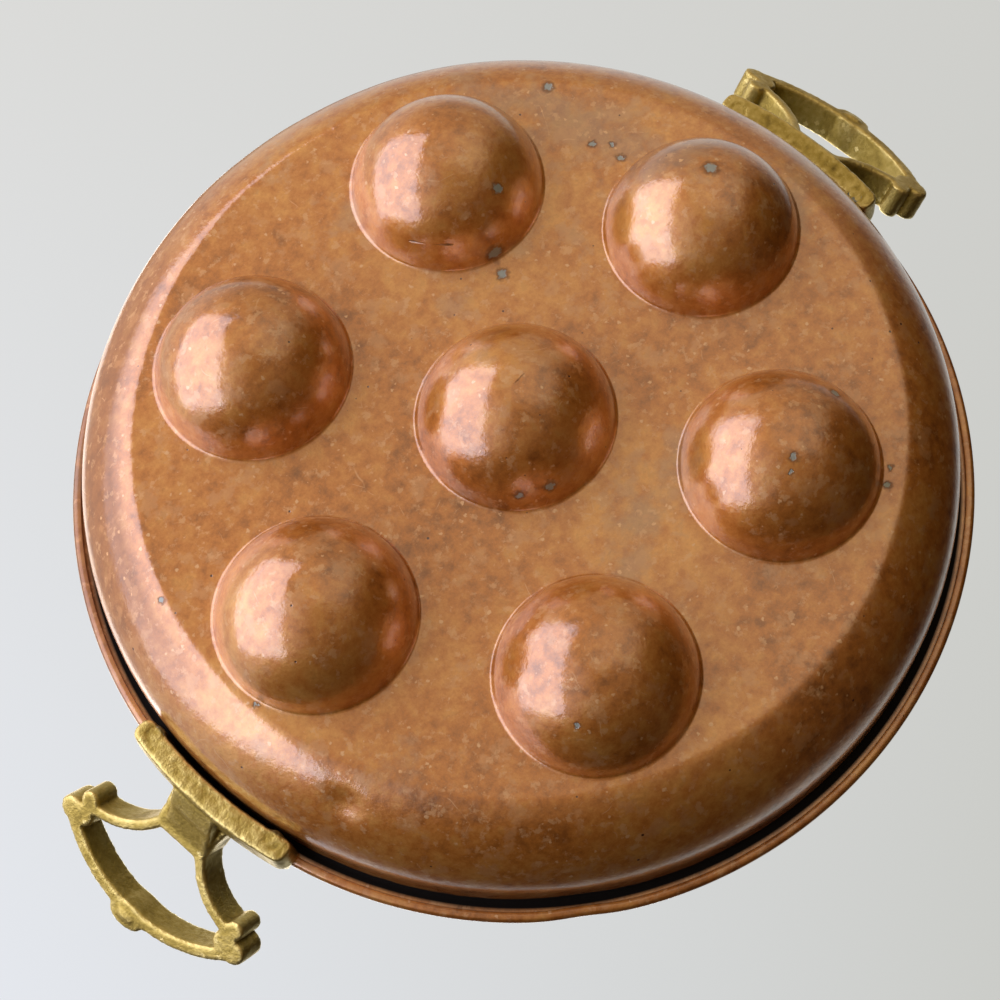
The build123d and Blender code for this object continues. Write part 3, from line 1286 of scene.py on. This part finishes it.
@dataclass(frozen=True)
class WipedTin:
    """Tin wiped on hot with a pad, which leaves a soft grey sheen with faint streaks."""

    pale: str = "#C9C8C2"
    dull: str = "#9C9C97"
    stain: str = "#7E7C74"
    streak_mm: float = 9.0
    streak_stretch: float = 0.16
    streak_depth_mm: float = 0.12
    blot_streaks: float = 3.0
    rough: float = 0.46
    smooth: float = 0.3
    name: str = "wiped_tin"

    def material(self) -> bpy.types.Material:
        """Build the tin finish."""
        made = bpy.data.materials.new(self.name)
        made.use_nodes = True
        tree = made.node_tree
        shader = tree.nodes["Principled BSDF"]
        shader.inputs["Metallic"].default_value = 1.0
        place = add_node(tree, "ShaderNodeTexCoord").outputs["Object"]
        drawn = add_node(
            tree,
            "ShaderNodeMapping",
            inputs={"Vector": place, "Rotation": (0, 0, 0.6), "Scale": (self.streak_stretch, 1.0, 1.0)},
        )
        streaks = add_node(
            tree,
            "ShaderNodeTexNoise",
            inputs={
                "Vector": drawn.outputs[0],
                "Scale": 1 / (self.streak_mm * MM),
                "Detail": 6.0,
                "Roughness": 0.62,
                "Distortion": 0.4,
            },
        )
        ramp = add_node(tree, "ShaderNodeValToRGB", inputs={"Fac": streaks.outputs["Fac"]})
        stops = ramp.color_ramp.elements
        stops[0].position, stops[0].color = 0.35, linear(self.dull)
        stops[1].position, stops[1].color = 0.65, linear(self.pale)
        blots = add_node(
            tree,
            "ShaderNodeTexNoise",
            inputs={
                "Vector": place,
                "Scale": 1 / (self.blot_streaks * self.streak_mm * MM),
                "Detail": 7.0,
                "Roughness": 0.68,
            },
        )
        stained = add_node(
            tree,
            "ShaderNodeMapRange",
            inputs={"Value": blots.outputs["Fac"], "From Min": 0.54, "From Max": 0.68, "To Max": 0.55},
        )
        colour = add_node(
            tree,
            "ShaderNodeMix",
            {"data_type": "RGBA"},
            {0: stained.outputs[0], 6: ramp.outputs["Color"], 7: linear(self.stain)},
        )
        tree.links.new(colour.outputs[2], shader.inputs["Base Color"])
        rough = add_node(
            tree,
            "ShaderNodeMapRange",
            inputs={
                "Value": streaks.outputs["Fac"],
                "From Min": 0.3,
                "From Max": 0.7,
                "To Min": self.rough,
                "To Max": self.smooth,
            },
        )
        tree.links.new(rough.outputs[0], shader.inputs["Roughness"])
        bump = add_node(
            tree,
            "ShaderNodeBump",
            inputs={"Distance": self.streak_depth_mm * MM, "Height": streaks.outputs["Fac"]},
        )
        tree.links.new(bump.outputs["Normal"], shader.inputs["Normal"])
        return made


@dataclass(frozen=True)
class CastBrass:
    """Sand-cast yellow brass, worn bright on its ridges and olive where the skin is untouched."""

    bright: str = "#E8D68C"
    middle: str = "#B49F50"
    olive: str = "#60501F"
    # near-black for the gap where the bar meets the wall: grimy, with painted shade
    soot: str = "#1E170C"
    patch_mm: float = 8.0
    grain_mm: float = 0.8
    grain_depth_mm: float = 0.22
    metallic: float = 0.85
    rough: float = 0.56
    worn: float = 0.28
    gap_reach_mm: float = 117.2
    gap_fade_mm: float = 0.6
    tone_stops: tuple[float, float, float] = (0.3, 0.48, 0.68)

    def material(self) -> bpy.types.Material:
        """Build the brass finish."""
        made = bpy.data.materials.new("cast_brass")
        made.use_nodes = True
        tree = made.node_tree
        shader = tree.nodes["Principled BSDF"]
        shader.inputs["Metallic"].default_value = self.metallic
        place = add_node(tree, "ShaderNodeTexCoord").outputs["Object"]
        cloud = add_node(
            tree,
            "ShaderNodeTexNoise",
            inputs={"Vector": place, "Scale": 1 / (self.patch_mm * MM), "Detail": 6.0, "Roughness": 0.7},
        )
        shape = add_node(tree, "ShaderNodeNewGeometry")
        ridge = add_node(
            tree,
            "ShaderNodeMapRange",
            inputs={"Value": shape.outputs["Pointiness"], "From Min": 0.44, "From Max": 0.56},
        )
        wear = add_node(
            tree,
            "ShaderNodeMix",
            {"data_type": "FLOAT"},
            {0: 0.5, 2: cloud.outputs["Fac"], 3: ridge.outputs[0]},
        )
        ramp = add_node(tree, "ShaderNodeValToRGB", inputs={"Fac": wear.outputs[0]})
        stops = ramp.color_ramp.elements
        stops[0].position, stops[0].color = self.tone_stops[0], linear(self.olive)
        stops[1].position, stops[1].color = self.tone_stops[2], linear(self.bright)
        between = stops.new(self.tone_stops[1])
        between.color = linear(self.middle)
        flat = add_node(
            tree, "ShaderNodeVectorMath", {"operation": "MULTIPLY"}, {0: place, 1: (1.0, 1.0, 0.0)}
        )
        reach = add_node(tree, "ShaderNodeVectorMath", {"operation": "LENGTH"}, {0: flat.outputs[0]})
        # painted shade, with grime, in the gap where the bar tucks against the wall
        gap_grime_and_shade_amount = add_node(
            tree,
            "ShaderNodeMapRange",
            inputs={
                "Value": reach.outputs["Value"],
                "From Min": (self.gap_reach_mm - self.gap_fade_mm) * MM,
                "From Max": self.gap_reach_mm * MM,
                "To Min": 0.85,
                "To Max": 0.0,
            },
        )
        colour = add_node(
            tree,
            "ShaderNodeMix",
            {"data_type": "RGBA"},
            {0: gap_grime_and_shade_amount.outputs[0], 6: ramp.outputs["Color"], 7: linear(self.soot)},
        )
        tree.links.new(colour.outputs[2], shader.inputs["Base Color"])
        rough = add_node(
            tree,
            "ShaderNodeMapRange",
            inputs={
                "Value": wear.outputs[0],
                "From Min": 0.35,
                "From Max": 0.65,
                "To Min": self.rough,
                "To Max": self.worn,
            },
        )
        tree.links.new(rough.outputs[0], shader.inputs["Roughness"])
        grain = add_node(
            tree,
            "ShaderNodeTexNoise",
            inputs={"Vector": place, "Scale": 1 / (self.grain_mm * MM), "Detail": 4.0, "Roughness": 0.6},
        )
        bump = add_node(
            tree,
            "ShaderNodeBump",
            inputs={"Distance": self.grain_depth_mm * MM, "Height": grain.outputs["Fac"]},
        )
        tree.links.new(bump.outputs["Normal"], shader.inputs["Normal"])
        return made


@dataclass(frozen=True)
class Patch:
    """A soft round patch of the room that the pan mirrors.

    Attributes:
        toward: Its direction by the camera's right, up and back.
        inner: Degrees from its middle within which it has its full shade.
        outer: Degrees from its middle at which it has faded out.
        shade: Its colour.
    """

    toward: tuple[float, float, float]
    inner: float
    outer: float
    shade: str


@dataclass
class Studio:
    """Pale stage, a tall soft window on the left, and the camera under the pan.

    The camera's place and its lens are in millimetres. Lamps and the floor are in metres, and a
    lamp called window is placed by the camera's right, up and back.
    """

    camera_place: tuple[float, float, float] = (-146.5, 154.4, -500.4)
    camera_turn: tuple[float, float, float] = (-159.965, -2.598, 48.885)
    lens: float = 80.33
    sensor: float = 36.0
    floor_shade: str = "#DADAD6"
    floor_half: float = 3.0
    contact_reach: float = 0.12
    floor_fade: tuple[float, float] = (0.6, 2.6)
    wall_cone: tuple[float, float] = (0.25, 0.8)
    room_shade: str = "#8E7456"
    wall_shades: tuple[str, ...] = ("#E5E8EE", "#CBCCC8", "#DBDBD9", "#CFCFCB")
    patches: tuple[Patch, ...] = (
        Patch((-0.95, 0.1, 0.3), 35.0, 75.0, "#D2C8C0"),
        Patch((-0.9, 0.3, -0.25), 35.0, 70.0, "#CFC4BA"),
        Patch((0.05, 0.9, 0.3), 28.0, 62.0, "#BCA282"),
        Patch((0.3, 0.7, 0.65), 12.0, 36.0, "#DCC8A8"),
        Patch((0.97, 0.02, -0.05), 35.0, 62.0, "#160D07"),
        Patch((0.6, -0.6, 0.4), 20.0, 50.0, "#3E2D1E"),
        Patch((0.0, -0.97, 0.1), 36.0, 62.0, "#170D07"),
        Patch((0.06, -0.9, 0.42), 11.0, 14.0, "#060302"),
        Patch((-0.32, 0.05, -0.94), 15.0, 27.0, "#8A7464"),
    )
    window_middle: tuple[float, float, float] = (-1.006, 0.33, 0.2)
    window_facing: tuple[float, float, float] = (0.699, -0.1, -0.715)
    window_size: tuple[float, float] = (1.32, 2.0)
    window_power: float = 16.0
    window_shade: str = "#ECEAFF"
    key_middle: tuple[float, float, float] = (-0.1, -0.45, 1.2)
    key_size: tuple[float, float] = (1.1, 1.1)
    key_power: float = 11.0
    key_shade: str = "#FFF9F2"

    def axes(self) -> tuple[Vector, Vector, Vector]:
        """The camera's right, up and back."""
        turn = Euler([math.radians(a) for a in self.camera_turn], "XYZ").to_matrix()
        return turn.col[0].copy(), turn.col[1].copy(), turn.col[2].copy()

    def aim(self, toward: tuple[float, float, float]) -> Vector:
        """Vector in the frame of one that is given by the camera's right, up and back."""
        return sum((axis * share for axis, share in zip(self.axes(), toward)), Vector())

    def add_camera(self) -> None:
        """Place the camera at the photograph's viewing angle."""
        data = bpy.data.cameras.new("camera")
        data.lens = self.lens
        data.sensor_width = self.sensor
        data.clip_start = 0.01
        camera = bpy.data.objects.new("camera", data)
        turn = Euler([math.radians(a) for a in self.camera_turn], "XYZ")
        camera.matrix_world = Matrix.Translation(Vector(self.camera_place) * MM) @ turn.to_matrix().to_4x4()
        bpy.context.scene.collection.objects.link(camera)
        bpy.context.scene.camera = camera

    def add_lamp(
        self, name: str, place: Vector, facing: Vector, size: tuple[float, float], power: float, shade: str
    ) -> None:
        """Hang a rectangular lamp.

        Args:
            name: The lamp's name.
            place: Its middle, in metres.
            facing: The way that its light goes.
            size: Width and height, in metres.
            power: Watts.
            shade: Colour of its light.
        """
        data = bpy.data.lights.new(name, "AREA")
        data.shape = "RECTANGLE"
        data.size, data.size_y = size
        data.energy = power
        data.color = linear(shade)[:3]
        lamp = bpy.data.objects.new(name, data)
        back = -facing.normalized()
        up = self.axes()[1]
        side = up.cross(back).normalized()
        turn = Matrix((side, back.cross(side), back)).transposed()
        lamp.matrix_world = Matrix.Translation(place) @ turn.to_4x4()
        lamp.visible_camera = False
        bpy.context.scene.collection.objects.link(lamp)

    def add_floor(self) -> None:
        """Lay a floor that fades out far away, shows from above only, and has painted contact shade near
        the pan.

        The camera below so sees the pan through it.
        """
        bm = bmesh.new()
        bmesh.ops.create_grid(bm, x_segments=1, y_segments=1, size=self.floor_half)
        mesh = bpy.data.meshes.new("floor")
        bm.to_mesh(mesh)
        bm.free()
        floor = bpy.data.objects.new("floor", mesh)
        bpy.context.scene.collection.objects.link(floor)
        made = bpy.data.materials.new("pale_floor")
        made.use_nodes = True
        tree = made.node_tree
        shader = tree.nodes["Principled BSDF"]
        shader.inputs["Roughness"].default_value = 0.9
        shader.inputs["Specular IOR Level"].default_value = 0.1
        # painted contact shade: ambient occlusion darkens the floor's colour near the pan
        painted_contact_shade = add_node(
            tree,
            "ShaderNodeAmbientOcclusion",
            {"samples": 8},
            {"Color": linear(self.floor_shade), "Distance": self.contact_reach},
        )
        tree.links.new(painted_contact_shade.outputs["Color"], shader.inputs["Base Color"])
        geometry = add_node(tree, "ShaderNodeNewGeometry")
        place = add_node(tree, "ShaderNodeTexCoord").outputs["Object"]
        away = add_node(tree, "ShaderNodeVectorMath", {"operation": "LENGTH"}, {0: place})
        far = add_node(
            tree,
            "ShaderNodeMapRange",
            {"interpolation_type": "SMOOTHSTEP"},
            {
                "Value": away.outputs["Value"],
                "From Min": self.floor_fade[0],
                "From Max": self.floor_fade[1],
            },
        )
        gone = add_node(
            tree,
            "ShaderNodeMath",
            {"operation": "MAXIMUM"},
            {0: geometry.outputs["Backfacing"], 1: far.outputs[0]},
        )
        clear = add_node(tree, "ShaderNodeBsdfTransparent")
        both = add_node(
            tree,
            "ShaderNodeMixShader",
            inputs={0: gone.outputs[0], 1: shader.outputs[0], 2: clear.outputs[0]},
        )
        tree.links.new(both.outputs[0], tree.nodes["Material Output"].inputs["Surface"])
        mesh.materials.append(made)
        floor.visible_shadow = False
        floor.visible_glossy = False
        floor.visible_diffuse = False

    def set_world(self) -> None:
        """Set the pale wall behind the pan and the dimmer room that the metal mirrors."""
        world = bpy.data.worlds.new("room")
        bpy.context.scene.world = world
        world.use_nodes = True
        tree = world.node_tree
        toward = add_node(tree, "ShaderNodeTexCoord").outputs["Generated"]
        half_view = math.atan(self.sensor / 2 / self.lens)
        edge = math.sin(half_view)
        shares = []
        for axis in self.axes()[:2]:
            dot = add_node(
                tree, "ShaderNodeVectorMath", {"operation": "DOT_PRODUCT"}, {0: toward, 1: axis[:]}
            )
            share = add_node(
                tree,
                "ShaderNodeMapRange",
                inputs={"Value": dot.outputs["Value"], "From Min": -edge, "From Max": edge},
            )
            shares.append(share.outputs[0])
        rows = []
        for left, right in (self.wall_shades[:2], self.wall_shades[2:]):
            row = add_node(
                tree,
                "ShaderNodeMix",
                {"data_type": "RGBA"},
                {0: shares[0], 6: linear(left), 7: linear(right)},
            )
            rows.append(row.outputs[2])
        wall = add_node(
            tree, "ShaderNodeMix", {"data_type": "RGBA"}, {0: shares[1], 6: rows[0], 7: rows[1]}
        )
        ahead = add_node(
            tree, "ShaderNodeVectorMath", {"operation": "DOT_PRODUCT"}, {0: toward, 1: (-self.axes()[2])[:]}
        )
        behind_pan = add_node(
            tree,
            "ShaderNodeMapRange",
            {"interpolation_type": "SMOOTHSTEP"},
            {
                "Value": ahead.outputs["Value"],
                "From Min": self.wall_cone[0],
                "From Max": self.wall_cone[1],
            },
        )
        room = add_node(
            tree,
            "ShaderNodeMix",
            {"data_type": "RGBA"},
            {0: behind_pan.outputs[0], 6: linear(self.room_shade), 7: wall.outputs[2]},
        )
        colour = room.outputs[2]
        for patch in self.patches:
            dot = add_node(
                tree,
                "ShaderNodeVectorMath",
                {"operation": "DOT_PRODUCT"},
                {0: toward, 1: self.aim(patch.toward).normalized()[:]},
            )
            amount = add_node(
                tree,
                "ShaderNodeMapRange",
                {"interpolation_type": "SMOOTHSTEP"},
                {
                    "Value": dot.outputs["Value"],
                    "From Min": math.cos(math.radians(patch.outer)),
                    "From Max": math.cos(math.radians(patch.inner)),
                },
            )
            colour = add_node(
                tree,
                "ShaderNodeMix",
                {"data_type": "RGBA"},
                {0: amount.outputs[0], 6: colour, 7: linear(patch.shade)},
            ).outputs[2]
        rays = add_node(tree, "ShaderNodeLightPath")
        whole = add_node(
            tree,
            "ShaderNodeMix",
            {"data_type": "RGBA"},
            {0: rays.outputs["Is Camera Ray"], 6: colour, 7: wall.outputs[2]},
        )
        tree.links.new(whole.outputs[2], tree.nodes["Background"].inputs["Color"])

    def build(self) -> None:
        """Set up everything that isn't the pan."""
        self.add_camera()
        self.add_floor()
        self.set_world()
        self.add_lamp(
            "window",
            self.aim(self.window_middle),
            self.aim(self.window_facing),
            self.window_size,
            self.window_power,
            self.window_shade,
        )
        key = Vector(self.key_middle)
        self.add_lamp("key_above", key, -key, self.key_size, self.key_power, self.key_shade)
        bpy.context.scene.view_settings.view_transform = "Standard"


def dress(piece: Piece, material: bpy.types.Material, nodes: Iterable[str]) -> None:
    """Give a piece its finish and its place in the frame.

    Args:
        piece: The finished piece.
        material: Its material.
        nodes: The frame's nodes that it stands for.
    """
    piece.data.materials.clear()
    piece.data.materials.append(material)
    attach(piece, "root")
    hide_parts(*nodes)
    log.info("%s: %d faces", piece.name, len(piece.data.polygons))


def main() -> None:
    """Build the pan and its stage."""
    logging.basicConfig(level=logging.INFO, format="%(name)s %(message)s")
    wall_dent = Dent((-100.6, 32.7, 26.1), (3.4, 4.6, 4.4), (0.7, -0.2, 0.8))
    rim_dent = Dent((-79.5, 89.8, 57.5), (8.0, 8.0, 4.0), (0.4, -0.45, 0.0))
    work = SheetWork(dents=(wall_dent, rim_dent))
    sheet = PressedSheet()
    dress(sheet.build_copper(work), AgedCopper().material(), ["pan_body"])
    dress(sheet.build_lining(work), WipedTin().material(), ["tin_lining"])
    brass = CastBrass().material()
    rivets = Rivets()
    for side in Side:
        dress(CastHandle().build(side, rivets.spots()), brass, [f"handle_{side.label}"])
    tinned = WipedTin(pale="#A9AAA2", dull="#6C6E67", streak_mm=4.0, name="tinned_rivet").material()
    rivet_nodes = [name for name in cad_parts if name.startswith("rivet_")]
    dress(rivets.build(tinned), tinned, rivet_nodes)
    Studio().build()


if __name__ == "__main__":
    main()
